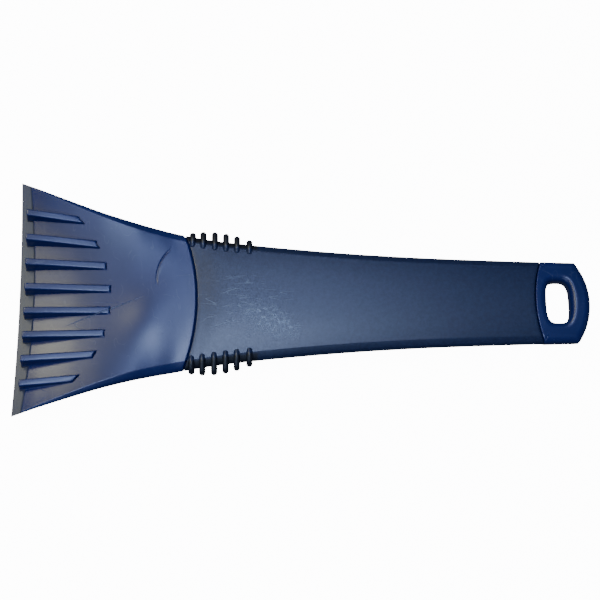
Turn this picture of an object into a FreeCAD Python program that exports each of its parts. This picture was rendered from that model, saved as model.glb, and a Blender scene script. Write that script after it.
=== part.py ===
"""Windshield ice scraper: one stiff moulding that is blade, spine and hanging loop, and the
soft grip moulded round its spine.

Frame, in millimetres: +X from the blade to the hanging loop, +Y across, +Z up out of the ribbed
face. The scraper lies on the flat of its grip's belly, which is the plane z = 0, and the origin
is under the middle of its box.
"""
import FreeCAD
import Part
import math
import os

# Overall size.
BLADE_X = -139.6            # the scraping edge
LOOP_END_X = 139.6          # the end of the hanging loop
WIDEST_Z = 9.0              # height of the handle's widest line above its belly

# Stations along the length: x, then the value there. Heights are above the widest line.
HALF_WIDTH = [(-139.6, 58.3), (-119.6, 51.1), (-96.7, 43.2), (-73.7, 37.2), (-42.6, 31.4),
              (-3.4, 27.2), (28.0, 24.7), (60.0, 22.9), (92.0, 21.7), (131.0, 20.6), (142.0, 20.4)]
SIDE_Z = [(-139.6, 9.2), (-131.0, 9.3), (-119.6, 8.3), (-108.0, 7.1), (-96.7, 5.9), (-85.3, 4.2),
          (-73.7, 1.9), (-62.0, 0.2), (-50.0, 0.0), (60.0, 0.0), (142.0, -0.6)]
TOP_Z = [(-139.6, 1.2), (-129.0, 2.5), (-119.6, 3.6), (-110.0, 4.4), (-99.0, 4.85),
         (-73.7, 5.3), (-50.0, 5.4), (0.0, 5.0), (60.0, 4.6), (142.0, 3.7)]
CREASE_IN = [(-139.6, 0.6), (-119.6, 1.6), (-96.7, 2.9), (-80.0, 3.8), (-62.0, 4.0), (-50.0, 3.9),
             (60.0, 3.6), (142.0, 3.2)]
CREASE_UP = [(-139.6, 0.25), (-119.6, 0.9), (-96.7, 1.9), (-80.0, 2.8), (-62.0, 3.3),
             (-50.0, 3.4), (60.0, 3.2), (142.0, 2.5)]
LOWER_IN = [(-139.6, 0.3), (-119.6, 1.0), (-96.7, 2.8), (-73.7, 4.8), (-50.0, 6.0), (60.0, 5.6),
            (142.0, 4.6)]
LOWER_Z = [(-139.6, 7.9), (-131.0, 7.3), (-119.6, 5.2), (-108.0, 1.8), (-96.7, -1.8),
           (-85.3, -4.6), (-73.7, -7.0), (-62.0, -8.7), (-50.0, -9.3), (80.0, -9.3), (142.0, -7.6)]
UNDER_Z = [(-139.6, -0.6), (-131.0, 0.0), (-119.6, 0.6), (-108.0, 0.2), (-96.7, -1.8),
           (-85.3, -4.6), (-73.7, -7.0), (-62.0, -8.7), (-50.0, -9.3), (80.0, -9.3), (142.0, -7.6)]
SECTION_X = [-139.6, -131.0, -124.0, -116.0, -108.0, -99.0, -90.0, -81.0, -72.0, -62.0, -50.0,
             -30.0, 0.0, 30.0, 60.0, 90.0, 115.0, 142.0]

# Scraping edge: a bevel on the ribbed side, wider at the middle than at the corners, which
# starts with a small step down from the face.
BEVEL_MIDDLE = 7.5
BEVEL_CORNER = 4.6
BEVEL_STEP = 0.5
BEVEL_SLOPE = 0.11

# Ice-breaking ribs on the blade, four each side of the centre line.
RIB_PITCH = 12.2
RIB_FRONT_X = -136.2
RIB_TOP_WIDTH = 2.8
RIB_FOOT_SPREAD = 1.0       # how much wider each flank is at the foot in front
RIB_FRONT_TOP = [8.2, 9.0, 10.6, 11.5]
RIB_REAR_TOP = [5.7, 6.1, 7.2, 8.6]
RIB_REAR_X = [-95.4, -97.7, -102.2, -110.4]
RIB_REAR_Y = [5.4, 16.9, 27.6, 39.7]
RIB_FRONT_LEAN = 0.3        # how far the front end leans back from foot to top
RIB_END_SLANT = [0.0, 0.05, 0.45, 0.75]

# Coring under the blade, which keeps its walls even.
PLATE = 3.0
SKIRT = 3.2
CORE_START_X = -122.0
CORE_END_X = -66.0
STIFFENER_PITCH = 10.0
STIFFENERS_A_SIDE = 4
STIFFENER_WIDTH = 2.0
STIFFENER_SHORT = 1.4       # the stiffeners stop this far above the skirt's lower edge

# Joints between the stiff moulding and the grip: upright cylinders seen from above.
HEAD_SEAM_X = -53.6
HEAD_SEAM_R = 97.0
LOOP_SEAM_X = 111.8
LOOP_SEAM_R = 57.0
GROOVE_HALF = 0.45
GROOVE_DEPTH = 0.6
SHY_START_X = -72.0         # the form at the groove's depth is only needed near the grip

# Spine inside the grip, with windows that the grip material fills.
GRIP_SKIN = 2.8             # grip material over and under the spine
SPINE_INSET = 6.0           # and at its sides
SPINE_FOOT = -6.3
SPINE_X = [-64.0, -50.0, -30.0, 0.0, 30.0, 60.0, 90.0, 115.0]
WINDOW_X = [-34.0, -2.0, 30.0, 62.0, 92.0]
WINDOW_LENGTH = 20.0
WINDOW_WIDTH = [24.0, 20.0, 18.0, 16.0, 14.0]

# Finger guards on each side of the grip.
FIN_X = [-56.0, -50.8, -45.1, -39.6, -34.2, -28.1]
FIN_TIP = [35.9, 36.3, 36.1, 35.3, 34.0, 32.1]
FIN_THICK = 2.6
FIN_ROUND = 0.8

# Hanging loop.
HOLE_LEFT_X = 118.2
HOLE_RIGHT_X = 129.5
HOLE_HALF = 10.6
HOLE_CORNER = 3.0
LOOP_CORNER_X = 133.0
LOOP_UNDER_Z = 0.3
LOOP_OVER_Z = 13.2
HOLE_ROUND_TOP = 2.4
HOLE_ROUND_UNDER = 3.4
END_ROUND = 4.0


def smooth(stations, x):
    """Value at x of the smooth curve through the stations, flat beyond its ends."""
    if x <= stations[0][0]:
        return stations[0][1]
    if x >= stations[-1][0]:
        return stations[-1][1]
    slopes = [(b[1] - a[1]) / (b[0] - a[0]) for a, b in zip(stations, stations[1:])]
    tangents = [slopes[0]]
    for before, after in zip(slopes, slopes[1:]):
        tangents.append(0.0 if before * after <= 0 else 2 * before * after / (before + after))
    tangents.append(slopes[-1])
    i = max(k for k in range(len(slopes)) if stations[k][0] <= x)
    span = stations[i + 1][0] - stations[i][0]
    t = (x - stations[i][0]) / span
    return ((2 * t**3 - 3 * t**2 + 1) * stations[i][1] + (t**3 - 2 * t**2 + t) * span * tangents[i]
            + (3 * t**2 - 2 * t**3) * stations[i + 1][1] + (t**3 - t**2) * span * tangents[i + 1])


def face_z(x, y):
    """Height of the ribbed face before the bevel."""
    reach = smooth(HALF_WIDTH, x) - smooth(CREASE_IN, x)
    middle = smooth(TOP_Z, x)
    crease = smooth(SIDE_Z, x) + smooth(CREASE_UP, x)
    return WIDEST_Z + middle + (crease - middle) * (y / reach)**2


def spline(points):
    curve = Part.BSplineCurve()
    curve.interpolate([FreeCAD.Vector(*p) for p in points])
    return curve.toShape()


def section(x, inset=0.0):
    """Closed outline of the whole body at x, pulled in by inset all round."""
    half = smooth(HALF_WIDTH, x)
    side_z = WIDEST_Z + smooth(SIDE_Z, x)
    crease_y = half - smooth(CREASE_IN, x)
    crease_z = side_z + smooth(CREASE_UP, x)
    lower_y = half - smooth(LOWER_IN, x)
    lower_z = WIDEST_Z + smooth(LOWER_Z, x)
    under_z = WIDEST_Z + smooth(UNDER_Z, x)
    top = [(x, crease_y * k / 3, face_z(x, crease_y * k / 3) - inset) for k in range(-3, 4)]
    upper_y = half - 0.42 * (half - crease_y) - inset
    upper_z = crease_z - 0.38 * (crease_z - side_z) - 0.4 * inset
    flank_y = half - 0.3 * (half - lower_y) - inset
    flank_z = lower_z + 0.38 * (side_z - lower_z)
    right = [top[-1], (x, upper_y, upper_z), (x, half - inset, side_z), (x, flank_y, flank_z),
             (x, lower_y, lower_z + inset)]
    under = [(x, -lower_y * k / 2, lower_z + inset + (under_z - lower_z) * (1 - (k / 2)**2))
             for k in range(-2, 3)]
    left = [(px, -py, pz) for px, py, pz in reversed(right)]
    return Part.Wire([spline(top), spline(right), spline(under), spline(left)])


def body(start=BLADE_X, inset=0.0):
    """The outer form of the scraper from start to the loop, on its flat belly."""
    form = Part.makeLoft([section(x, inset) for x in SECTION_X if x >= start], True, False)
    above_floor = Part.makeBox(400, 200, 60, FreeCAD.Vector(-200, -100, inset))
    return form.common(above_floor)


def upright_cylinder(x, y, radius):
    return Part.makeCylinder(radius, 80, FreeCAD.Vector(x, y, -20))


def bevel_cutter():
    """Everything above the bevel, from corner to corner."""
    wires = []
    for k in range(-4, 5):
        y = 15.5 * k
        ratio = abs(y) / smooth(HALF_WIDTH, BLADE_X)
        width = BEVEL_MIDDLE + (BEVEL_CORNER - BEVEL_MIDDLE) * ratio**2
        start_x = BLADE_X + width
        start_z = face_z(start_x, y) - BEVEL_STEP
        tip_x = BLADE_X - 3.0
        tip_z = start_z - BEVEL_SLOPE * (width + 3.0)
        outline = [(start_x, start_z), (tip_x, tip_z), (tip_x, 50.0), (start_x, 50.0)]
        points = [FreeCAD.Vector(px, y, pz) for px, pz in outline]
        wires.append(Part.makePolygon(points + points[:1]))
    return Part.makeLoft(wires, True, False)


def trapezoid(x, y, top_z, foot_z, top_width, spread, lean):
    """A rib's cross-section at x. The top is set back by lean."""
    half = top_width / 2
    foot = half + spread
    corners = [(x, y - foot, foot_z), (x, y + foot, foot_z), (x + lean, y + half, top_z),
               (x + lean, y - half, top_z)]
    points = [FreeCAD.Vector(*c) for c in corners]
    return Part.makePolygon(points + points[:1])


def blade_rib(index, side):
    """One rib, from its tall front end to where it runs out into the face."""
    front_y = side * RIB_PITCH * (index + 0.5)
    rear_y = side * RIB_REAR_Y[index]
    rear_x = RIB_REAR_X[index] + 2.0
    front_foot = face_z(RIB_FRONT_X, front_y) - 2.0
    rear_foot = face_z(rear_x, rear_y) - 1.6
    front = trapezoid(RIB_FRONT_X - 0.5, front_y, WIDEST_Z + RIB_FRONT_TOP[index], front_foot,
                      RIB_TOP_WIDTH, RIB_FOOT_SPREAD, RIB_FRONT_LEAN)
    rear = trapezoid(rear_x, rear_y, WIDEST_Z + RIB_REAR_TOP[index], rear_foot,
                     RIB_TOP_WIDTH, 0.5, 0.0)
    rib = Part.makeLoft([front, rear], True, True)
    slant = math.degrees(math.atan(RIB_END_SLANT[index]))
    end = Part.makeBox(30, 40, 60, FreeCAD.Vector(0, -20, -20))
    end.rotate(FreeCAD.Vector(0, 0, 0), FreeCAD.Vector(0, 0, 1), side * slant)
    end.translate(FreeCAD.Vector(RIB_REAR_X[index], rear_y, 0))
    return rib.cut(end)


def cavity():
    """The hollow under the blade, open below."""
    wires = []
    for x in [CORE_START_X, -112.0, -102.0, -92.0, -82.0, -74.0, CORE_END_X]:
        half = smooth(HALF_WIDTH, x) - SKIRT
        ceiling = [(x, half * k / 3, face_z(x, half * k / 3) - PLATE) for k in range(-3, 4)]
        low = -20.0
        corners = [ceiling[-1], (x, half, low), (x, -half, low), ceiling[0]]
        points = [FreeCAD.Vector(*c) for c in corners]
        sides = [Part.LineSegment(a, b).toShape() for a, b in zip(points, points[1:])]
        wires.append(Part.Wire([spline(ceiling)] + sides))
    return Part.makeLoft(wires, True, False)


def stiffeners(form):
    """Upright walls inside the hollow, a little shorter than the skirt."""
    raised = form.copy()
    raised.translate(FreeCAD.Vector(0, 0, STIFFENER_SHORT))
    inner = form.common(raised)
    length = CORE_END_X - CORE_START_X + 4
    walls = []
    for k in range(-STIFFENERS_A_SIDE, STIFFENERS_A_SIDE + 1):
        y = k * STIFFENER_PITCH
        corner = FreeCAD.Vector(CORE_START_X - 2, y - STIFFENER_WIDTH / 2, -10)
        slab = Part.makeBox(length, STIFFENER_WIDTH, 19.5 + WIDEST_Z - 4, corner)
        walls.append(slab.common(inner))
    return walls


def spine():
    """The stiff bar inside the grip, pierced by windows. Its crown follows the grip's."""
    wires = []
    for x in SPINE_X:
        half = smooth(HALF_WIDTH, x) - SPINE_INSET
        crown = [(x, half * k / 2, face_z(x, half * k / 2) - GRIP_SKIN) for k in range(-2, 3)]
        foot = WIDEST_Z + SPINE_FOOT
        corners = [crown[-1], (x, half, foot), (x, -half, foot), crown[0]]
        points = [FreeCAD.Vector(*c) for c in corners]
        sides = [Part.LineSegment(a, b).toShape() for a, b in zip(points, points[1:])]
        wires.append(Part.Wire([spline(crown)] + sides))
    bar = Part.makeLoft(wires, True, False)
    for x, width in zip(WINDOW_X, WINDOW_WIDTH):
        bar = bar.cut(window(x, width))
    return bar


def window(x, width):
    """An upright slot with round ends, its long way across the spine."""
    radius = WINDOW_LENGTH / 2
    if width <= WINDOW_LENGTH:
        slot = upright_cylinder(x - (WINDOW_LENGTH - width) / 2, 0, width / 2)
        return slot.fuse([upright_cylinder(x + (WINDOW_LENGTH - width) / 2, 0, width / 2),
                          Part.makeBox(WINDOW_LENGTH - width + 0.01, width, 80,
                                       FreeCAD.Vector(x - (WINDOW_LENGTH - width) / 2,
                                                      -width / 2, -20))])
    reach = (width - WINDOW_LENGTH) / 2
    return upright_cylinder(x, -reach, radius).fuse(
        [upright_cylinder(x, reach, radius),
         Part.makeBox(2 * radius, 2 * reach, 80, FreeCAD.Vector(x - radius, -reach, -20))])


def loop_disc():
    """A flat disc with a round rim, which gives the loop its outer end."""
    chord = smooth(HALF_WIDTH, LOOP_CORNER_X)
    bulge = LOOP_END_X - LOOP_CORNER_X
    radius = (chord**2 + bulge**2) / (2 * bulge)
    centre = FreeCAD.Vector(LOOP_END_X - radius, 0, LOOP_UNDER_Z)
    disc = Part.makeCylinder(radius, LOOP_OVER_Z - LOOP_UNDER_Z, centre)
    rims = [e for e in disc.Edges if e.BoundBox.ZLength < 0.01]
    return disc.makeFillet(END_ROUND, rims)


def hole_prism():
    """Upright prism of the hanging hole: a rounded box with bowed long sides."""
    z = -20.0
    bow = 0.5
    corners = [(HOLE_LEFT_X, -HOLE_HALF), (HOLE_RIGHT_X, -HOLE_HALF), (HOLE_RIGHT_X, HOLE_HALF),
               (HOLE_LEFT_X, HOLE_HALF)]
    c = [FreeCAD.Vector(x, y, z) for x, y in corners]
    edges = [Part.LineSegment(c[0], c[1]).toShape(),
             Part.Arc(c[1], FreeCAD.Vector(HOLE_RIGHT_X + bow, 0, z), c[2]).toShape(),
             Part.LineSegment(c[2], c[3]).toShape(),
             Part.Arc(c[3], FreeCAD.Vector(HOLE_LEFT_X - bow, 0, z), c[0]).toShape()]
    prism = Part.Face(Part.Wire(edges)).extrude(FreeCAD.Vector(0, 0, 80))
    upright = [e for e in prism.Edges if abs(e.BoundBox.ZLength - 80) < 0.1]
    return prism.makeFillet(HOLE_CORNER, upright)


def mouth_edges(shape, upper):
    """Edges round the hole's mouth, above or below."""
    found = []
    for edge in shape.Edges:
        middle = edge.valueAt((edge.FirstParameter + edge.LastParameter) / 2)
        beside_hole = abs(middle.y) < HOLE_HALF + 0.5 and HOLE_LEFT_X - 1 < middle.x < HOLE_RIGHT_X + 1
        level = middle.z > WIDEST_Z if upper else middle.z < WIDEST_Z / 2
        if beside_hole and level and edge.BoundBox.ZLength < WIDEST_Z / 2:
            found.append(edge)
    return found


def hanging_loop(form):
    """The end of the stiff moulding, with its hole and rounded rims."""
    beyond = upright_cylinder(LOOP_SEAM_X + LOOP_SEAM_R, 0, LOOP_SEAM_R)
    end = form.common(beyond).common(loop_disc())
    end = end.cut(hole_prism())
    for upper, radius in [(True, HOLE_ROUND_TOP), (False, HOLE_ROUND_UNDER)]:
        end = end.makeFillet(radius, mouth_edges(end, upper))
    return end


def fin(x, tip, side):
    """One finger guard, a slab with round edges that wraps round the side of the grip."""
    half = smooth(HALF_WIDTH, x)
    crease_y = half - smooth(CREASE_IN, x)
    outline = [(crease_y - 2.2, 2.4), (crease_y - 0.2, 4.4), (half - 1.0, 4.3), (tip - 0.8, 2.3),
               (tip, -0.6), (tip - 1.0, -3.2), (half - 1.6, -6.0), (half - 4.6, -7.8),
               (half - 6.4, -4.0)]
    middle_y = half - 1.5
    middle_z = -2.0
    wires = []
    for step in range(-3, 4):
        angle = step * math.pi / 6.6
        shrink = FIN_ROUND * (1 - math.cos(angle))
        offset = FIN_THICK / 2 * math.sin(angle)
        points = []
        for y, z in outline:
            reach = math.hypot(y - middle_y, z - middle_z)
            scale = 1 - shrink / reach
            points.append(FreeCAD.Vector(x + offset, side * (middle_y + (y - middle_y) * scale),
                                         WIDEST_Z + middle_z + (z - middle_z) * scale))
        curve = Part.BSplineCurve()
        curve.interpolate(points, True)
        wires.append(Part.Wire([curve.toShape()]))
    return Part.makeLoft(wires, True, False)


def build():
    form = body()
    shy = body(SHY_START_X, GROOVE_DEPTH)
    head_axis = HEAD_SEAM_X - HEAD_SEAM_R
    loop_axis = LOOP_SEAM_X + LOOP_SEAM_R
    head_side = upright_cylinder(head_axis, 0, HEAD_SEAM_R)
    head_land = upright_cylinder(head_axis, 0, HEAD_SEAM_R - GROOVE_HALF)
    head_clear = upright_cylinder(head_axis, 0, HEAD_SEAM_R + GROOVE_HALF)
    loop_side = upright_cylinder(loop_axis, 0, LOOP_SEAM_R)
    loop_clear = upright_cylinder(loop_axis, 0, LOOP_SEAM_R + GROOVE_HALF)

    head = form.common(head_land).fuse(shy.common(head_side))
    head = head.cut(bevel_cutter())
    ribs = [blade_rib(i, side) for side in (1, -1) for i in range(len(RIB_REAR_X))]
    head = head.cut(cavity())
    head = head.fuse(ribs + stiffeners(form.common(head_land)))
    loop = hanging_loop(form)
    bar = spine()
    core = head.fuse([bar, loop])

    between = FreeCAD.Vector(-100, -100, -20)
    zone = Part.makeBox(240, 200, 80, between)
    sleeve = form.common(zone).cut(head_clear).cut(loop_clear)
    sleeve = sleeve.fuse(shy.common(zone).cut(head_side).cut(loop_side))
    fins = [fin(x, tip, side) for x, tip in zip(FIN_X, FIN_TIP) for side in (1, -1)]
    fins = [f.cut(head_side) for f in fins]
    sleeve = sleeve.cut(bar).fuse(fins)
    return {"blade_spine_and_loop": core, "soft_grip": sleeve}


os.makedirs("parts", exist_ok=True)
for name, shape in build().items():
    box = shape.optimalBoundingBox(True, False)
    print(name, shape.isValid(), len(shape.Solids), round(shape.Volume / 1000, 2), "cm3",
          [round(v, 2) for v in (box.XMin, box.XMax, box.YMin, box.YMax, box.ZMin, box.ZMax)])
    shape.exportStep(f"parts/{name}.step")
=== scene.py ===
"""Looks of the windshield ice scraper: a glossy blue core with its ribbed blade and hanging loop,
and the matt navy grip moulded round it. Shapes are worked out in millimetres in the frame's axes
and turned into metres when a mesh is made."""
import math

import bmesh
import bpy
import numpy as np
from mathutils import Matrix, Vector


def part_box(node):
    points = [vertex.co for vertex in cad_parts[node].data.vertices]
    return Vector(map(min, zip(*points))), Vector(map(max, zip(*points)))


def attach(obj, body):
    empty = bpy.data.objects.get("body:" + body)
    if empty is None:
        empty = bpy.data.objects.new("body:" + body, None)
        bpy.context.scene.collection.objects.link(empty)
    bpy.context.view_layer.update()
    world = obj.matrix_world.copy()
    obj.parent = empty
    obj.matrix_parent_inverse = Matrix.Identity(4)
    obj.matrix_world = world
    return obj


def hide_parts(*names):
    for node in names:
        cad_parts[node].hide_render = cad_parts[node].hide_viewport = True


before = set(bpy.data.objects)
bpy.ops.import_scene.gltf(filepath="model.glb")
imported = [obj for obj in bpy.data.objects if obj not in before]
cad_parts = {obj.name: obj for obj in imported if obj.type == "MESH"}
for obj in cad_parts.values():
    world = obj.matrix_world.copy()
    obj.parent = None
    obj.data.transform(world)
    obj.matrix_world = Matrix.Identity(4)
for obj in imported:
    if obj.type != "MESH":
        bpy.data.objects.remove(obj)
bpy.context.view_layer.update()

MM = 0.001
CORE_NODE = "blade_spine_and_loop"
GRIP_NODE = "soft_grip"
core_low, core_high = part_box(CORE_NODE)

# Driving dimensions, in millimetres. Heights are above the handle's widest line.
BLADE_X = core_low.x / MM
LOOP_END_X = core_high.x / MM
WIDEST_Z = 9.0
HALF_WIDTH = [(BLADE_X, core_high.y / MM), (-119.6, 51.1), (-96.7, 43.2), (-73.7, 37.2),
              (-42.6, 31.4), (-3.4, 27.2), (28.0, 24.7), (60.0, 22.9), (92.0, 21.7), (131.0, 20.6),
              (142.0, 20.4)]
SIDE_Z = [(BLADE_X, 9.2), (-131.0, 9.3), (-119.6, 8.3), (-108.0, 7.1), (-96.7, 5.9), (-85.3, 4.2),
          (-73.7, 1.9), (-62.0, 0.2), (-50.0, 0.0), (60.0, 0.0), (142.0, -0.6)]
TOP_Z = [(BLADE_X, 1.2), (-129.0, 2.5), (-119.6, 3.6), (-110.0, 4.4), (-99.0, 4.85),
         (-73.7, 5.3), (-50.0, 5.4), (0.0, 5.0), (60.0, 4.6), (142.0, 3.7)]
CREASE_IN = [(BLADE_X, 0.6), (-119.6, 1.6), (-96.7, 2.9), (-80.0, 3.8), (-62.0, 4.0), (-50.0, 3.9),
             (60.0, 3.6), (142.0, 3.2)]
CREASE_UP = [(BLADE_X, 0.25), (-119.6, 0.9), (-96.7, 1.9), (-80.0, 2.8), (-62.0, 3.3),
             (-50.0, 3.4), (60.0, 3.2), (142.0, 2.5)]
LOWER_IN = [(BLADE_X, 0.3), (-119.6, 1.0), (-96.7, 2.8), (-73.7, 4.8), (-50.0, 6.0), (60.0, 5.6),
            (142.0, 4.6)]
LOWER_Z = [(BLADE_X, 7.9), (-131.0, 7.3), (-119.6, 5.2), (-108.0, 1.8), (-96.7, -1.8),
           (-85.3, -4.6), (-73.7, -7.0), (-62.0, -8.7), (-50.0, -9.3), (80.0, -9.3), (142.0, -7.6)]
UNDER_Z = [(BLADE_X, -0.6), (-131.0, 0.0), (-119.6, 0.6), (-108.0, 0.2), (-96.7, -1.8),
           (-85.3, -4.6), (-73.7, -7.0), (-62.0, -8.7), (-50.0, -9.3), (80.0, -9.3), (142.0, -7.6)]

# Scraping edge: a bevel on the ribbed side, wider in the middle, behind a small sloped step.
BEVEL_MIDDLE, BEVEL_CORNER, BEVEL_STEP, BEVEL_SLOPE = 7.5, 4.6, 0.5, 0.11
BEVEL_STEP_RUN = 0.8
FACE_START_X = -127.0           # the first straight section behind the bevel's curved line

# Ice-breaking ribs, one value for each rib from the middle outwards.
RIB_PITCH = 12.2
RIB_FRONT_X = -136.2
RIB_TOP_WIDTH, RIB_WIDER_BEHIND = 2.9, 0.15
RIB_SPREAD, RIB_DRAFT = 0.22, 0.13
RIB_FRONT_TOP = [8.2, 9.0, 10.6, 11.5]
RIB_REAR_TOP = [5.7, 6.1, 7.2, 8.6]
RIB_REAR_X = [-95.4, -97.7, -102.2, -110.4]
RIB_REAR_Y = [5.4, 16.9, 27.6, 39.7]
RIB_END_SLANT = [0.0, 0.05, 0.45, 0.75]
RIB_BOW = 2.0
RIB_FRONT_LEAN, RIB_FRONT_LEAN_RUN = 0.3, 3.0
RIB_REAR_LEAN, RIB_REAR_LEAN_RUN = 0.8, 2.5
RIB_SLANT_RUN = 9.0
RIB_END_OVER = 0.6              # how far the rounded ends reach past the given end points
RIB_ROOT = 1.6                  # how deep a rib reaches into the blade

# Coring under the blade.
PLATE, SKIRT, WALL_IN, WALL_DRAFT = 3.0, 3.2, 1.4, 0.4
CORE_START_X, CORE_END_X = -122.0, -66.0
STIFFENER_PITCH, STIFFENERS_A_SIDE, STIFFENER_WIDTH, STIFFENER_SHORT = 10.0, 4, 2.0, 1.4

# Seams, which are arcs seen from above, and the head's face beside the first one.
HEAD_SEAM_X, HEAD_SEAM_R = -53.6, 97.0
LOOP_SEAM_X, LOOP_SEAM_R = 111.8, 57.0
SEAM_LIP = 0.9
DIP_DEPTH, DIP_REACH = 0.45, 8.0
SWELL_X, SWELL_Y, SWELL_HIGH, SWELL_REACH = -76.5, -11.0, 1.0, 12.0

# Grip, the spine inside it and its finger guards.
GRIP_SKIN, SPINE_INSET, SPINE_FOOT = 2.8, 6.0, -6.3
SPINE_START_X, SPINE_END_X = -64.0, 115.0
FIN_X = [-56.0, -50.8, -45.1, -39.6, -34.2, -28.1]
FIN_TIP = [35.9, 36.3, 36.1, 35.3, 34.0, 32.1]
FIN_THICK, FIN_ROUND, FIN_TURN = 3.0, 1.6, 1.35

# Hanging loop and its hole, whose outline is a rounded oblong between ellipse and rectangle.
HOLE_LEFT_X, HOLE_RIGHT_X, HOLE_HALF = 118.2, 129.0, 10.6
HOLE_POWER, HOLE_WIDER = 3.4, 0.45
LOOP_CORNER_X = 133.0
LOOP_RIM, LOOP_LIP, LOOP_GAP = 3.3, 0.5, 0.15
LOOP_FLAT_HALF, LOOP_UNDER_FLATTER, LOOP_UNDER_UP = 17.0, 0.7, 0.25
MOUTH_TOP, MOUTH_LOW = 3.4, 5.0

# Camera, light and floor, in metres.
CAMERA_PLACE = (-0.0287, -0.1976, 0.6729 + WIDEST_Z * MM)
CAMERA_TARGET = (-0.00334, 0.00132, WIDEST_Z * MM)
CAMERA_LENS, CAMERA_ROLL = 86.08, math.radians(-0.607)
PANEL_Z = 0.9
WORLD_COLOR = (0.065, 0.08, 0.11, 1)
FLOOR_SIZE, FLOOR_Z, FLOOR_GLOW = 6.0, -0.0002, 13.0

# Where the materials change, in metres or per metre.
MARKED_LOW, MARKED_HIGH = 0.0095, 0.0115        # wear marks are only above this height
BEVEL_LINE_BOW, BLADE_EDGE_BOW = 0.86, 2.47     # how the bevel line and the edge curve with y
RIB_LOW, RIB_HIGH = 0.0105, 0.0115              # ribs stand above the bevel's height here
# Band over the finger guards and the grip's side beside them, painted near black as shade.
FIN_SHADE_TAPER, FIN_SHADE_IN, FIN_SHADE_OUT = 0.13, 0.0222, 0.0236
FIN_SHADE_BACK_X, FIN_SHADE_END_X = -0.025, -0.023


# ---------------------------------------------------------------- outlines

def smooth(stations, x):
    """Value at x of the smooth curve through the stations, for a number or an array."""
    px = np.array([s[0] for s in stations])
    py = np.array([s[1] for s in stations])
    slope = np.diff(py) / np.diff(px)
    before, after = slope[:-1], slope[1:]
    both = np.where(before + after == 0, 1.0, before + after)
    inner = np.where(before * after > 0, 2 * before * after / both, 0.0)
    tangent = np.concatenate([[slope[0]], inner, [slope[-1]]])
    x = np.clip(x, px[0], px[-1])
    i = np.clip(np.searchsorted(px, x, side="right") - 1, 0, len(slope) - 1)
    span = px[i + 1] - px[i]
    t = (x - px[i]) / span
    return ((2 * t**3 - 3 * t**2 + 1) * py[i] + (t**3 - 2 * t**2 + t) * span * tangent[i]
            + (3 * t**2 - 2 * t**3) * py[i + 1] + (t**3 - t**2) * span * tangent[i + 1])


def face_z(x, y):
    """Height of the ribbed face and the grip's crown, before the bevel."""
    reach = smooth(HALF_WIDTH, x) - smooth(CREASE_IN, x)
    middle = smooth(TOP_Z, x)
    crease = smooth(SIDE_Z, x) + smooth(CREASE_UP, x)
    arch = middle + (crease - middle) * (y / reach)**2
    return WIDEST_Z + arch - seam_dip(x, y, reach) + thumb_swell(x, y)


def seam_dip(x, y, reach):
    """How far the face sinks towards the seam between head and grip."""
    away = (x - head_seam_x(y)) / DIP_REACH
    return DIP_DEPTH * np.exp(-away**2) * (1 - np.minimum(abs(y) / reach, 1.0)**6)


def thumb_swell(x, y):
    """How far the soft swelling of the face in front of the seam stands up."""
    return SWELL_HIGH * np.exp(-((x - SWELL_X)**2 + (y - SWELL_Y)**2) / SWELL_REACH**2)


def under_z(x, y):
    """Height of the outer form's underside."""
    reach = smooth(HALF_WIDTH, x) - smooth(LOWER_IN, x)
    low = smooth(LOWER_Z, x)
    z = low + (smooth(UNDER_Z, x) - low) * (1 - np.minimum(abs(y) / reach, 1.0)**2)
    return np.maximum(WIDEST_Z + z, 0.0)


def flank(x, count):
    """Points (inward from the silhouette, height) from the crease over the widest line to the
    underside's edge, for the section at x."""
    crease_in, crease_up = smooth(CREASE_IN, x), smooth(CREASE_UP, x)
    lower_in, lower_z, side = smooth(LOWER_IN, x), smooth(LOWER_Z, x), smooth(SIDE_Z, x)
    knots = [(crease_in, side + crease_up), (0.42 * crease_in, side + 0.62 * crease_up),
             (0.0, side), (0.3 * lower_in, lower_z + 0.38 * (side - lower_z)),
             (lower_in, lower_z)]
    return catmull(np.array(knots), count)


def catmull(knots, count):
    """Even walk along the Catmull-Rom curve through the knots, ends included."""
    ends = np.vstack([2 * knots[0] - knots[1], knots, 2 * knots[-1] - knots[-2]])
    t = np.linspace(0, len(knots) - 1 - 1e-9, 24 * len(knots))
    i = t.astype(int)
    f = (t - i)[:, None]
    a, b, c, d = ends[i], ends[i + 1], ends[i + 2], ends[i + 3]
    dense = 0.5 * (2 * b + (c - a) * f + (2 * a - 5 * b + 4 * c - d) * f**2
                   + (3 * b - a - 3 * c + d) * f**3)
    run = np.concatenate([[0], np.cumsum(np.linalg.norm(np.diff(dense, axis=0), axis=1))])
    even = np.linspace(0, run[-1], count)
    return np.column_stack([np.interp(even, run, dense[:, k]) for k in range(dense.shape[1])])


def head_seam_x(y):
    return HEAD_SEAM_X - HEAD_SEAM_R + np.sqrt(HEAD_SEAM_R**2 - np.minimum(abs(y), 60.0)**2)


def loop_seam_x(y):
    return LOOP_SEAM_X + LOOP_SEAM_R - np.sqrt(LOOP_SEAM_R**2 - np.minimum(abs(y), 40.0)**2)


def bevel_width(y):
    return BEVEL_MIDDLE + (BEVEL_CORNER - BEVEL_MIDDLE) * (y / smooth(HALF_WIDTH, BLADE_X))**2


# ---------------------------------------------------------------- meshes

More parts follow.
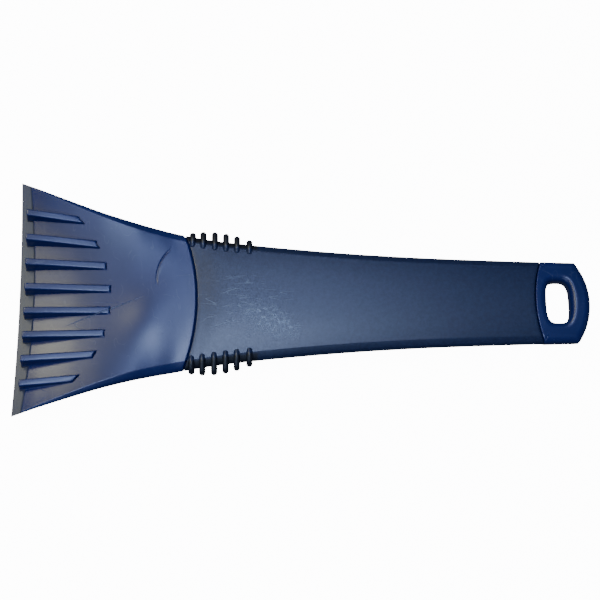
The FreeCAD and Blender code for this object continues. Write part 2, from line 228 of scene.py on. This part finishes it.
class Shell:
    """Closed grids gathered into one mesh."""

    def __init__(self):
        self.verts = []
        self.faces = []

    def add_grid(self, rings, closed=False):
        """Rings of equal length, each joined to the next. A closed grid joins the last ring to
        the first; an open one gets a flat face at each end."""
        start = len(self.verts)
        rings = np.asarray(rings, float)
        rows, cols = rings.shape[:2]
        self.verts.extend(rings.reshape(-1, 3).tolist())
        for r in range(rows if closed else rows - 1):
            below = start + r * cols
            above = start + (r + 1) % rows * cols
            for c in range(cols):
                d = (c + 1) % cols
                self.faces.append((below + c, above + c, above + d, below + d))
        if not closed:
            self.faces.append(tuple(range(start, start + cols)))
            last = start + (rows - 1) * cols
            self.faces.append(tuple(reversed(range(last, last + cols))))

    def make(self, name):
        mesh = bpy.data.meshes.new(name)
        mesh.from_pydata((np.array(self.verts) * MM).tolist(), [], self.faces)
        work = bmesh.new()
        work.from_mesh(mesh)
        bmesh.ops.recalc_face_normals(work, faces=work.faces)
        work.to_mesh(mesh)
        work.free()
        mesh.shade_smooth()
        piece = bpy.data.objects.new(name, mesh)
        bpy.context.scene.collection.objects.link(piece)
        return piece


def on_line(x_of_y, y_of_x):
    """The point where y_of_x meets the line x_of_y across the scraper."""
    y = 0.0
    for _ in range(5):
        x = float(x_of_y(y))
        y = float(y_of_x(x))
    return x, y


def crown_points(x_of_y, count):
    """Across the face from crease to crease, closer together at the creases."""
    points = []
    for share in np.sin(np.linspace(-math.pi / 2, math.pi / 2, count)):
        x, y = on_line(x_of_y, lambda x: share * (smooth(HALF_WIDTH, x) - smooth(CREASE_IN, x)))
        points.append((x, y, float(face_z(x, y))))
    return points


def flank_points(x_of_y, side, count):
    """Down one side, without the two end points."""
    x, _ = on_line(x_of_y, lambda x: side * smooth(HALF_WIDTH, x))
    points = []
    for inward, height in flank(x, count)[1:-1]:
        px, y = on_line(x_of_y, lambda x: side * (smooth(HALF_WIDTH, x) - inward))
        points.append((px, y, max(WIDEST_Z + height, 0.0)))
    return points


def under_points(x_of_y, count):
    """Across the underside from +y to -y."""
    points = []
    for share in np.linspace(1, -1, count):
        x, y = on_line(x_of_y, lambda x: share * (smooth(HALF_WIDTH, x) - smooth(LOWER_IN, x)))
        points.append((x, y, float(under_z(x, y))))
    return points


def hollow_points(x_of_y, hollow):
    """Across the head's underside from +y to -y: rim, wall, ceiling, wall, rim."""
    half_side = []
    for step in range(4 + 4 + 16):
        def y_of_x(x):
            lower = smooth(HALF_WIDTH, x) - smooth(LOWER_IN, x)
            wall = smooth(HALF_WIDTH, x) - max(SKIRT, smooth(LOWER_IN, x) + WALL_IN)
            if step < 4:
                return lower + (wall - lower) * step / 3
            if step < 8:
                return wall - WALL_DRAFT * (step - 3) / 4
            return (wall - WALL_DRAFT) * (1 - (step - 7) / 16)
        x, y = on_line(x_of_y, y_of_x)
        z = float(under_z(x, y))
        if hollow and step >= 4:
            ceiling = max(z, float(face_z(x, y)) - PLATE)
            z += (ceiling - z) * min(1.0, (step - 3) / 4)
        half_side.append((x, y, z))
    mirrored = [(x, -y, z) for x, y, z in half_side[:-1]]
    return half_side + mirrored[::-1]


def section(x_of_y, hollow=None):
    """One ring round the scraper: over the face, down the side, back underneath, up the side.
    hollow is None for the grip and loop, and says for the head whether it is cored there."""
    below = under_points(x_of_y, 25) if hollow is None else hollow_points(x_of_y, hollow)
    ring = crown_points(x_of_y, 49) + flank_points(x_of_y, 1, 14) + below
    return np.array(ring + flank_points(x_of_y, -1, 14)[::-1], float)


def inset(ring, amount):
    """The ring moved inwards in its y-z outline, which runs clockwise."""
    along = np.roll(ring, -1, axis=0) - np.roll(ring, 1, axis=0)
    inward = np.column_stack([np.zeros(len(ring)), along[:, 2], -along[:, 1]])
    length = np.linalg.norm(inward, axis=1, keepdims=True)
    return ring + inward / np.maximum(length, 1e-9) * amount


def blade_edge_ring(x_of_y):
    """A head section in the bevel, with its face lowered below the bevel line."""
    ring = section(x_of_y, hollow=False)
    start = BLADE_X + bevel_width(ring[:, 1])
    drop = np.maximum(start - ring[:, 0], 0.0)
    step = BEVEL_STEP * np.clip(drop / BEVEL_STEP_RUN, 0.0, 1.0)
    bevel = face_z(start, ring[:, 1]) - step - BEVEL_SLOPE * drop
    upper = (drop > 0) & (ring[:, 2] > bevel)
    ring[upper, 2] = bevel[upper]
    return ring


def head_rings():
    """From the scraping edge to the groove beside the grip."""
    rings = []
    for back in (1.0, 0.97, 0.75, 0.5, 0.25):
        rings.append(blade_edge_ring(lambda y, b=back: BLADE_X + (1 - b) * bevel_width(y)))
    for back in (1.0, 0.8, 0.6, 0.45, 0.3, 0.15, 0.05, 0.0):
        rings.append(blade_edge_ring(lambda y, b=back: BLADE_X + bevel_width(y) - b))
    for share in (0.02, 0.1, 0.3, 0.6, 1.0):
        def line(y, share=share):
            return (BLADE_X + bevel_width(y)) * (1 - share) + FACE_START_X * share
        rings.append(section(line, hollow=False))
    for x in list(np.arange(CORE_START_X, CORE_END_X - 0.5, 2.0)) + [CORE_END_X - 0.3]:
        rings.append(section(lambda y, x=x: x, hollow=True))
    rings.append(section(lambda y: CORE_END_X, hollow=False))
    for share in np.linspace(0.15, 1.0, 8):
        def line(y, share=share):
            return CORE_END_X * (1 - share) + (head_seam_x(y) - SEAM_LIP) * share
        rings.append(section(line, hollow=False))
    for back, depth in ((0.65, 0.02), (0.45, 0.12), (0.4, 0.35), (0.38, 0.7), (-0.3, 0.75),
                        (-0.35, 2.0)):
        rings.append(inset(section(lambda y, b=back: head_seam_x(y) - b, hollow=False), depth))
    return rings


def bar_ring(x_of_y, clearance=0.0):
    """The spine's section, or the grip's bore with a clearance."""
    points = []
    foot = WIDEST_Z + SPINE_FOOT - clearance

    def reach(x, share):
        return share * (smooth(HALF_WIDTH, x) - SPINE_INSET + clearance)
    for share in np.linspace(-1, 1, 49):
        x, y = on_line(x_of_y, lambda x: reach(x, share))
        points.append((x, y, float(face_z(x, y)) - GRIP_SKIN + clearance))
    side = [points[-1][2] + (foot - points[-1][2]) * k / 13 for k in range(1, 13)]
    x, y = on_line(x_of_y, lambda x: reach(x, 1))
    points += [(x, y, z) for z in side]
    for share in np.linspace(1, -1, 25):
        px, py = on_line(x_of_y, lambda x: reach(x, share))
        points.append((px, py, foot))
    points += [(x, -y, z) for z in reversed(side)]
    return np.array(points)


def rib_rings(index, side):
    """Cross-sections of one rib from its tall front end to its rear end."""
    front = np.array([RIB_FRONT_X - RIB_END_OVER, side * RIB_PITCH * (index + 0.5)])
    rear = np.array([RIB_REAR_X[index] + RIB_END_OVER, side * RIB_REAR_Y[index]])
    length = rear[0] - front[0]
    slope = (rear[1] - front[1]) / length
    rings = []
    ends = [0.0, 0.12, 0.4]
    cuts = [0.4, 0.12, 0.0]
    between = list(np.linspace(0.9, length - 0.9, 26))
    stations = ends + between + [length - end for end in reversed(ends)]
    shrinks = cuts + [0.0] * len(between) + list(reversed(cuts))
    for distance, shrink in zip(stations, shrinks):
        t = distance / length
        x = front[0] + distance
        y = front[1] + slope * distance
        foot = float(face_z(x, y))
        top = WIDEST_Z + RIB_FRONT_TOP[index] * (1 - t) + RIB_REAR_TOP[index] * t
        top += RIB_BOW * t * (1 - t) * (1 - t)
        tall = top - foot - shrink
        half = RIB_TOP_WIDTH / 2 + RIB_WIDER_BEHIND * t - shrink
        spread = RIB_SPREAD + RIB_DRAFT * tall
        profile = [(half + spread + 0.5, -0.35), (half + spread + 0.15, 0.06),
                   (half + spread * 0.9, 0.12 * tall + 0.1), (half + spread * 0.5, 0.5 * tall),
                   (half + 0.16, tall - 0.45), (half + 0.02, tall - 0.2),
                   (half - 0.14, tall - 0.05), (half - 0.4, tall), (half * 0.4, tall + 0.03)]
        ring = []
        lean_front = RIB_FRONT_LEAN * max(0.0, 1 - distance / RIB_FRONT_LEAN_RUN)
        lean_rear = -RIB_REAR_LEAN * max(0.0, 1 - (length - distance) / RIB_REAR_LEAN_RUN)
        slant = RIB_END_SLANT[index] * max(0.0, 1 - (length - distance) / RIB_SLANT_RUN)
        for sign in (-1, 1):
            for off, high in profile if sign < 0 else reversed(profile):
                rise = min(max(high / max(tall, 0.1), 0.0), 1.0)
                px = x + (lean_front + lean_rear) * rise - slant * off * sign * side
                py = y + sign * off
                base = float(face_z(px, py)) if high < 0.1 else foot
                ring.append((px, py, base + high))
        ring.append((x, y + half, foot - RIB_ROOT))
        ring.append((x, y - half, foot - RIB_ROOT))
        rings.append(ring)
    return rings


def stiffener_rings(y):
    """One upright wall in the hollow under the blade."""
    rings = []
    half = STIFFENER_WIDTH / 2
    for x in np.arange(CORE_START_X + 2, CORE_END_X + 1.0, 2.0):
        top = float(face_z(x, y)) - PLATE + 1.2
        foot = min(float(under_z(x, y)) + STIFFENER_SHORT, top - 1.25)
        inside = smooth(HALF_WIDTH, x) - max(SKIRT, smooth(LOWER_IN, x) + WALL_IN) - abs(y)
        if inside < -1.0:
            continue
        rings.append([(x, y - half - 0.2, top), (x, y + half + 0.2, top),
                      (x, y + half - 0.1, foot + 0.3), (x, y + half - 0.35, foot),
                      (x, y - half + 0.35, foot), (x, y - half + 0.1, foot + 0.3)])
    return rings


def hole_outline(angle):
    """Distance from the hole's middle to its edge in each direction."""
    middle_x = (HOLE_LEFT_X + HOLE_RIGHT_X) / 2
    t = np.linspace(0, 2 * math.pi, 1441)
    across, along = np.cos(t), np.sin(t)
    wide = (HOLE_RIGHT_X - HOLE_LEFT_X) / 2 + HOLE_WIDER
    x = wide * np.sign(across) * abs(across)**(2 / HOLE_POWER)
    y = HOLE_HALF * np.sign(along) * abs(along)**(2 / HOLE_POWER)
    turn = np.unwrap(np.arctan2(y, x))
    return middle_x, np.interp(np.mod(angle, 2 * math.pi), turn - turn[0], np.hypot(x, y))


def loop_end_radius():
    """Radius of the arc that the loop ends in, seen from above."""
    half = float(smooth(HALF_WIDTH, LOOP_CORNER_X))
    bulge = LOOP_END_X - LOOP_CORNER_X
    return (half**2 + bulge**2) / (2 * bulge)


def loop_outline(angle, middle_x):
    """Distance from the hole's middle to the loop's outer edge, and whether it is the seam."""
    radius = loop_end_radius()
    reach = np.linspace(0.5, 40.0, 4000)
    found, seam = [], []
    for a in angle:
        x = middle_x + reach * math.cos(a)
        y = reach * math.sin(a)
        outside_end = np.hypot(x - (LOOP_END_X - radius), y) > radius
        outside_side = abs(y) > smooth(HALF_WIDTH, x)
        outside_seam = x < loop_seam_x(y) + LOOP_GAP
        first = int(np.argmax(outside_end | outside_side | outside_seam))
        found.append(reach[first])
        seam.append(bool(outside_seam[first]))
    return np.array(found), np.array(seam)


def loop_surface(x, y, upper):
    """Height of the loop's face or underside, rounded down to the widest line at its rim."""
    radius = loop_end_radius()
    to_end = radius - math.hypot(x - (LOOP_END_X - radius), y)
    to_side = float(smooth(HALF_WIDTH, x)) - abs(y)
    inward = min(max(min(to_end, to_side), 0.0) / LOOP_RIM, 1.0)
    side_z = WIDEST_Z + float(smooth(SIDE_Z, x))
    if upper:
        full = float(face_z(x, min(max(y, -LOOP_FLAT_HALF), LOOP_FLAT_HALF)))
    else:
        full = float(under_z(x, LOOP_UNDER_FLATTER * y)) + LOOP_UNDER_UP
    return side_z + (full - side_z) * math.sqrt(1 - (1 - inward)**2)


def loop_rings():
    """Profiles of the hanging loop, one for each direction from the middle of the hole."""
    angle = np.linspace(0, 2 * math.pi, 361)[:-1]
    middle_x, inner = hole_outline(angle)
    outer, seam = loop_outline(angle, middle_x)
    for _ in range(4):
        outer = np.where(seam, outer, (np.roll(outer, 1) + 2 * outer + np.roll(outer, -1)) / 4)
    rings = []
    for a, r_in, r_out, at_seam in zip(angle, inner, outer, seam):
        rim = LOOP_LIP if at_seam else LOOP_RIM
        ring = []

        def place(r, upper, lift=1.0, drop=0.0):
            """A point on the face or underside. Lift 0 is the widest line; drop goes into the
            hole."""
            x, y = middle_x + r * math.cos(a), r * math.sin(a)
            side_z = WIDEST_Z + float(smooth(SIDE_Z, x))
            full = loop_surface(x, y, upper)
            ring.append((x, y, side_z + (full - side_z) * lift + (-drop if upper else drop)))
        for k in range(9):
            q = math.pi / 2 * k / 8
            place(r_out - rim * (1 - math.cos(q)), True, math.sin(q) if at_seam else min(k, 1))
        for k in range(1, 9):
            place(r_out - rim + (r_in + MOUTH_TOP - r_out + rim) * k / 8, True)
        for k in range(1, 9):
            q = math.pi / 2 * k / 8
            place(r_in + MOUTH_TOP * (1 - math.sin(q)), True, 1.0, MOUTH_TOP * (1 - math.cos(q)))
        wall_top = ring[-1][2]
        x, y = ring[-1][:2]
        wall_low = loop_surface(x, y, False) + MOUTH_LOW
        for k in range(1, 4):
            ring.append((x, y, wall_top + (wall_low - wall_top) * k / 4))
        for k in range(9):
            q = math.pi / 2 * k / 8
            place(r_in + MOUTH_LOW * (1 - math.cos(q)), False, 1.0, MOUTH_LOW * (1 - math.sin(q)))
        for k in range(1, 6):
            place(r_in + MOUTH_LOW + (r_out - rim - r_in - MOUTH_LOW) * k / 5, False)
        for k in range(1, 8):
            q = math.pi / 2 * (1 - k / 8)
            place(r_out - rim * (1 - math.cos(q)), False, math.sin(q) if at_seam else 1.0)
        rings.append(ring)
    return rings


def grip_rings():
    """The sleeve outside from seam to seam, then back through its bore."""
    outside = []

    def line(share, shift):
        return lambda y: (head_seam_x(y) * (1 - share) + loop_seam_x(y) * share) + shift
    for shift, depth in ((0.38, 0.7), (0.4, 0.35), (0.46, 0.14), (0.65, 0.03)):
        outside.append(inset(section(line(0.0, shift)), depth))
    for share in np.linspace(0, 1, 86):
        outside.append(section(line(share, SEAM_LIP * (1 - 2 * share))))
    for shift, depth in ((0.5, 0.03), (0.28, 0.12), (0.18, 0.32), (0.16, 0.7)):
        outside.append(inset(section(line(1.0, -shift)), depth))
    bore = [bar_ring(line(share, 0.38 * (1 - 2 * share)), 0.05) for share in np.linspace(1, 0, 30)]
    return outside + bore


def fin_rings(x, tip, side):
    """One finger guard, a slab with round edges that wraps round the grip's side."""
    half = float(smooth(HALF_WIDTH, x))
    crease_y = half - float(smooth(CREASE_IN, x))
    knots = np.array([(crease_y - 2.4, 3.0), (crease_y - 0.8, 4.4), (half - 1.6, 4.6),
                      (tip - 1.0, 2.7), (tip, -0.6), (tip - 0.9, -3.2), (half - 1.6, -6.0),
                      (half - 4.6, -7.8), (half - 6.4, -4.0)])
    around = np.vstack([knots[-1], knots, knots[0], knots[1]])
    outline = []
    for i in range(1, len(around) - 2):
        a, b, c, d = around[i - 1:i + 3]
        for f in np.arange(8) / 8:
            outline.append(0.5 * (2 * b + (c - a) * f + (2 * a - 5 * b + 4 * c - d) * f**2
                                  + (3 * b - a - 3 * c + d) * f**3))
    outline = np.array(outline)
    middle = np.array([half - 1.5, -2.0])
    rings = []
    for step in range(-4, 5):
        q = step / 4 * FIN_TURN
        away = outline - middle
        far = np.linalg.norm(away, axis=1, keepdims=True)
        shape = middle + away * (1 - FIN_ROUND * (1 - math.cos(q)) / far)
        across = FIN_THICK / 2 * math.sin(q) / math.sin(FIN_TURN)
        rings.append([(x + across, side * y, WIDEST_Z + z) for y, z in shape])
    return rings


def build_core():
    shell = Shell()
    shell.add_grid(head_rings())
    for index in range(len(RIB_REAR_X)):
        for side in (1, -1):
            shell.add_grid(rib_rings(index, side))
    for k in range(-STIFFENERS_A_SIDE, STIFFENERS_A_SIDE + 1):
        shell.add_grid(stiffener_rings(STIFFENER_PITCH * k))
    shell.add_grid([bar_ring(lambda y, x=x: x) for x in np.linspace(SPINE_START_X, SPINE_END_X, 40)])
    shell.add_grid(loop_rings(), closed=True)
    return shell.make("core")


def build_grip():
    shell = Shell()
    shell.add_grid(grip_rings(), closed=True)
    for x, tip in zip(FIN_X, FIN_TIP):
        for side in (1, -1):
            shell.add_grid(fin_rings(x, tip, side))
    return shell.make("grip")


# ---------------------------------------------------------------- materials

class Nodes:
    """A short way to write a material's node tree."""

    def __init__(self, name):
        self.material = bpy.data.materials.new(name)
        self.material.use_nodes = True
        self.tree = self.material.node_tree
        self.tree.nodes.clear()
        self.output = self.tree.nodes.new("ShaderNodeOutputMaterial")
        self.coords = self.tree.nodes.new("ShaderNodeTexCoord").outputs["Object"]

    def node(self, kind, inputs=(), **settings):
        node = self.tree.nodes.new(kind)
        for key, value in settings.items():
            setattr(node, key, value)
        for key, value in dict(inputs).items():
            if isinstance(value, bpy.types.NodeSocket):
                self.tree.links.new(value, node.inputs[key])
            else:
                node.inputs[key].default_value = value
        return node

    def math(self, operation, a, b=0.0, clamp=False):
        node = self.node("ShaderNodeMath", {0: a, 1: b}, operation=operation, use_clamp=clamp)
        return node.outputs[0]

    def noise(self, scale, detail=2.0, rough=0.5, stretch=(1, 1, 1), turn=0.0, warp=0.0):
        mapping = self.node("ShaderNodeMapping", {"Vector": self.coords, "Scale": stretch,
                                                  "Rotation": (0, 0, turn)})
        node = self.node("ShaderNodeTexNoise", {"Vector": mapping.outputs[0], "Scale": scale,
                                                "Detail": detail, "Roughness": rough,
                                                "Distortion": warp})
        return node.outputs["Fac"]

    def stamp(self, middle, size, turn=0.0):
        """Object coordinates moved, turned and scaled so that the mark is a unit circle."""
        return self.node("ShaderNodeMapping", {"Vector": self.coords, "Location": (*middle, 0),
                                               "Rotation": (0, 0, turn), "Scale": (*size, 1)},
                         vector_type="TEXTURE").outputs[0]

    def spot(self, middle, size, turn=0.0, core=0.2):
        """1 in the core of an ellipse seen from above, 0 outside it. A very slim one is a
        scratch."""
        away = self.node("ShaderNodeVectorMath", {0: self.stamp(middle, size, turn)},
                         operation="LENGTH").outputs["Value"]
        return self.ramp(away, 1.0, core)

    def arc(self, middle, radius, width):
        """1 on a circle seen from above, 0 beyond the width on both sides."""
        away = self.node("ShaderNodeVectorMath", {0: self.stamp(middle, (1, 1))},
                         operation="LENGTH").outputs["Value"]
        off = self.math("ABSOLUTE", self.math("SUBTRACT", away, radius))
        return self.ramp(off, width, 0.0)

    def hairs(self, scale, width, stretch=(1, 1, 1), turn=0.0, warp=0.0):
        """Thin wandering scratches, the level lines of a noise, broken into lengths."""
        level = self.noise(scale, 1.0, 0.5, stretch, turn, warp)
        off = self.math("ABSOLUTE", self.math("SUBTRACT", level, 0.5))
        lengths = self.ramp(self.noise(scale * 0.9, 1.0, 0.5, (1, 1, 1), 1.0), 0.48, 0.56)
        return self.math("MULTIPLY", self.ramp(off, width, 0.0), lengths)

    def worn_edge(self):
        """1 on the rounded outer edges, in patches."""
        sharp = self.node("ShaderNodeNewGeometry").outputs["Pointiness"]
        return self.math("MULTIPLY", self.ramp(sharp, 0.53, 0.6),
                         self.ramp(self.noise(170.0, 3.0), 0.4, 0.65))

    def ramp(self, value, low, high):
        """0 below low, 1 above high, smooth between."""
        node = self.node("ShaderNodeMapRange", {"Value": value, "From Min": low, "From Max": high},
                         interpolation_type="SMOOTHSTEP")
        return node.outputs["Result"]

    def mix(self, factor, a, b):
        node = self.node("ShaderNodeMix", data_type="RGBA")
        for socket, value in ((node.inputs[0], factor), (node.inputs[6], a), (node.inputs[7], b)):
            if isinstance(value, bpy.types.NodeSocket):
                self.tree.links.new(value, socket)
            else:
                socket.default_value = value
        return node.outputs[2]

    def bump(self, height, strength, distance, normal=None):
        inputs = {"Height": height, "Strength": strength, "Distance": distance}
        if normal is not None:
            inputs["Normal"] = normal
        return self.node("ShaderNodeBump", inputs).outputs["Normal"]

    def finish(self, **inputs):
        named = {key.replace("_", " "): value for key, value in inputs.items()}
        shader = self.node("ShaderNodeBsdfPrincipled", named)
        self.tree.links.new(shader.outputs[0], self.output.inputs["Surface"])
        return self.material


def total(m, *parts):
    """Sum of the marks, each with its share, never above 1."""
    result = 0.0
    for share, mark in parts:
        result = m.math("ADD", result, m.math("MULTIPLY", share, mark), clamp=True)
    return result


def gloss_blue():
    m = Nodes("gloss_blue")
    cloud = m.ramp(m.noise(30.0, 3.0), 0.3, 0.7)
    color = m.mix(cloud, (0.0048, 0.012, 0.075, 1), (0.006, 0.0145, 0.092, 1))

    place = m.node("ShaderNodeSeparateXYZ", {0: m.coords}).outputs
    square = m.math("MULTIPLY", place["Y"], place["Y"])
    along = m.math("ADD", place["X"], m.math("MULTIPLY", BEVEL_LINE_BOW, square))
    lift = m.math("SUBTRACT", place["Z"], m.math("MULTIPLY", BLADE_EDGE_BOW, square))
    bevel_end = (BLADE_X + BEVEL_MIDDLE) * MM
    bevel = m.math("MULTIPLY", m.ramp(along, bevel_end + 0.0001, bevel_end - 0.0003),
                   m.ramp(lift, RIB_HIGH, RIB_LOW))
    chalky = m.math("ADD", 0.45, m.math("MULTIPLY", 0.4, m.noise(400.0, 4.0, 0.6, (1, 0.2, 1))))
    color = m.mix(m.math("MULTIPLY", bevel, chalky), color, (0.075, 0.075, 0.07, 1))

    crescent = m.math("MULTIPLY", m.arc((-0.0535, 0.0105), 0.0243, 0.0006),
                      m.spot((-0.0755, 0.0195), (0.014, 0.0125), -0.5, 0.5))
    # A small painted highlight beside the crescent dent, lightened into the face colour.
    painted_gleam = m.spot((-0.0722, 0.0138), (0.0014, 0.0052), -0.35)
    cut = m.spot((-0.0985, -0.0060), (0.0235, 0.00032), 0.372)
    hairs = m.hairs(45.0, 0.004, (0.5, 1.6, 1), 0.3, 0.3)
    nicks = m.hairs(160.0, 0.012, (1, 0.5, 1), 0.8)
    face = m.ramp(place["Z"], MARKED_LOW, MARKED_HIGH)
    crescent = m.math("MULTIPLY", crescent, face)
    cut = m.math("MULTIPLY", cut, face)
    painted_gleam = m.math("MULTIPLY", painted_gleam, face)
    # Pale mix: worn edges, hairs, nicks and the cut are wear; the small spot beside the crescent is
    # a painted highlight.
    pale = total(m, (0.3, m.worn_edge()), (0.1, hairs), (0.08, nicks), (0.2, painted_gleam), (0.5, cut))
    color = m.mix(pale, color, (0.16, 0.2, 0.28, 1))
    rough = m.math("ADD", 0.28, m.math("MULTIPLY", m.noise(60.0, 4.0), 0.04))
    rough = m.math("ADD", rough, total(m, (0.3, pale), (0.12, bevel)))
    groove = total(m, (1.0, crescent), (0.7, cut), (0.12, hairs))
    normal = m.bump(m.math("SUBTRACT", 1.0, groove), 1.0, 0.00025)
    return m.finish(Base_Color=color, Roughness=rough, Normal=normal, IOR=1.5)


def matt_navy():
    m = Nodes("matt_navy")
    mottle = m.ramp(m.noise(650.0, 4.0, 0.7), 0.3, 0.7)
    color = m.mix(mottle, (0.006, 0.012, 0.042, 1), (0.0105, 0.02, 0.06, 1))

    scribble = total(m, (1.0, m.hairs(400.0, 0.055, (1, 1, 1), 0.0, 1.5)),
                     (0.9, m.hairs(330.0, 0.045, (0.5, 1.4, 1), 0.7, 1.0)),
                     (0.7, m.hairs(260.0, 0.03, (0.4, 1.4, 1), -0.6, 0.8)),
                     (0.25, m.ramp(m.noise(420.0, 4.0, 0.7), 0.42, 0.7)))
    place = m.node("ShaderNodeSeparateXYZ", {0: m.coords}).outputs
    # Painted shade: the finger guards and the grip's side beside them are the same navy rubber,
    # painted near black here and made a little rougher.
    taper = m.math("MULTIPLY", FIN_SHADE_TAPER, place["X"])
    beyond = m.math("ADD", m.math("ABSOLUTE", place["Y"]), taper)
    fin_painted_shade = m.math("MULTIPLY", m.ramp(beyond, FIN_SHADE_IN, FIN_SHADE_OUT),
                    m.ramp(place["X"], FIN_SHADE_END_X, FIN_SHADE_BACK_X))
    color = m.mix(fin_painted_shade, color, (0.005, 0.0065, 0.012, 1))
    tangle = m.math("MULTIPLY", m.spot((-0.0175, -0.0105), (0.019, 0.0095), -0.42, 0.35), scribble)
    streaks = m.math("MULTIPLY", m.spot((-0.030, -0.003), (0.028, 0.019), 0.0, 0.5),
                     total(m, (1.0, m.hairs(190.0, 0.02, (0.22, 1.5, 1), 0.35, 0.3)),
                           (0.8, m.hairs(150.0, 0.018, (0.22, 1.5, 1), -0.2, 0.3))))
    slash = total(m, (1.0, m.spot((-0.0425, -0.0125), (0.006, 0.0004), 0.3)),
                  (0.8, m.spot((-0.0375, 0.0045), (0.0065, 0.00035), 0.33)),
                  (0.7, m.spot((-0.0385, -0.003), (0.005, 0.0003), 0.25)))
    faint = m.hairs(90.0, 0.003, (0.3, 1.6, 1), -0.3, 0.3)
    face = m.ramp(place["Z"], MARKED_LOW, MARKED_HIGH)
    scuffs = total(m, (0.85, tangle), (0.4, streaks), (0.3, slash))
    pale = total(m, (1.0, m.math("MULTIPLY", scuffs, face)), (0.04, faint), (0.05, m.worn_edge()))
    color = m.mix(pale, color, (0.24, 0.31, 0.44, 1))
    rough = m.math("ADD", 0.29, m.math("MULTIPLY", m.noise(900.0, 3.0), 0.09))
    rough = m.math("ADD", rough, total(m, (0.25, pale), (0.12, fin_painted_shade)))
    grain = m.bump(m.noise(2200.0, 3.0, 0.6), 0.2, 0.0001)
    cuts = m.math("MULTIPLY", total(m, (0.6, slash), (0.5, streaks)), face)
    normal = m.bump(m.math("SUBTRACT", 1.0, cuts), 0.4, 0.00008, grain)
    return m.finish(Base_Color=color, Roughness=rough, Normal=normal, IOR=1.5)


def pale_floor():
    m = Nodes("pale_floor")
    color = m.mix(m.noise(3.0), (0.86, 0.86, 0.86, 1), (0.9, 0.9, 0.9, 1))
    return m.finish(Base_Color=color, Roughness=0.8, Emission_Color=(1, 1, 1, 1),
                    Emission_Strength=FLOOR_GLOW)


# ---------------------------------------------------------------- scene

def add_camera():
    """Straight-ish view down on the ribbed face from the -y side."""
    data = bpy.data.cameras.new("camera")
    data.sensor_width = 36.0
    data.lens = CAMERA_LENS
    camera = bpy.data.objects.new("camera", data)
    bpy.context.scene.collection.objects.link(camera)
    place = Vector(CAMERA_PLACE)
    back = (place - Vector(CAMERA_TARGET)).normalized()
    right = Vector((0, 1, 0)).cross(back).normalized()
    up = back.cross(right)
    roll = Matrix.Rotation(CAMERA_ROLL, 3, back)
    right, up = roll @ right, roll @ up
    basis = Matrix((right, up, back)).transposed().to_4x4()
    camera.matrix_world = Matrix.Translation(place) @ basis
    bpy.context.scene.camera = camera


def add_panel(name, middle, size, radiance):
    """A soft light panel above the bench that faces straight down. Radiance is its brightness in
    red, green and blue."""
    data = bpy.data.lights.new(name, "AREA")
    data.shape = "RECTANGLE"
    data.size, data.size_y = size
    peak = max(radiance)
    data.color = [value / peak for value in radiance]
    data.energy = math.pi * size[0] * size[1] * peak
    light = bpy.data.objects.new(name, data)
    light.location = (*middle, PANEL_Z)
    bpy.context.scene.collection.objects.link(light)


def add_stage():
    world = bpy.data.worlds.new("studio")
    world.use_nodes = True
    background = world.node_tree.nodes["Background"]
    background.inputs["Color"].default_value = WORLD_COLOR
    background.inputs["Strength"].default_value = 1.0
    bpy.context.scene.world = world
    add_panel("lamp", (-0.045, 0.0), (0.14, 0.21), (18.0, 23.0, 35.5))
    add_panel("window", (0.01, 0.36), (0.11, 0.44), (6.0, 7.9, 14.0))
    add_panel("warm_lamp", (-0.445, 0.49), (0.17, 0.28), (23.0, 22.0, 14.5))
    add_panel("warm_low", (-0.5, 0.18), (0.12, 0.32), (11.5, 11.0, 7.0))
    add_panel("left_wall", (-1.05, 0.18), (0.7, 0.55), (1.2, 1.2, 0.7))
    add_panel("front_fill", (-0.22, -0.78), (0.65, 0.65), (1.2, 1.6, 2.4))
    add_panel("front_left", (-0.98, -0.9), (0.85, 0.8), (1.3, 1.7, 2.6))
    add_panel("back_fill", (-0.65, 1.4), (1.3, 0.4), (1.4, 1.5, 1.0))
    bpy.ops.mesh.primitive_plane_add(size=FLOOR_SIZE, location=(0, 0, FLOOR_Z))
    floor = bpy.context.object
    floor.name = "floor"
    floor.visible_diffuse = False
    floor.visible_glossy = False
    floor.data.materials.append(pale_floor())


def settle(piece, node, material):
    piece.data.materials.append(material)
    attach(piece, "root")
    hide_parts(node)


add_camera()
add_stage()
settle(build_core(), CORE_NODE, gloss_blue())
settle(build_grip(), GRIP_NODE, matt_navy())

bpy.context.view_layer.update()
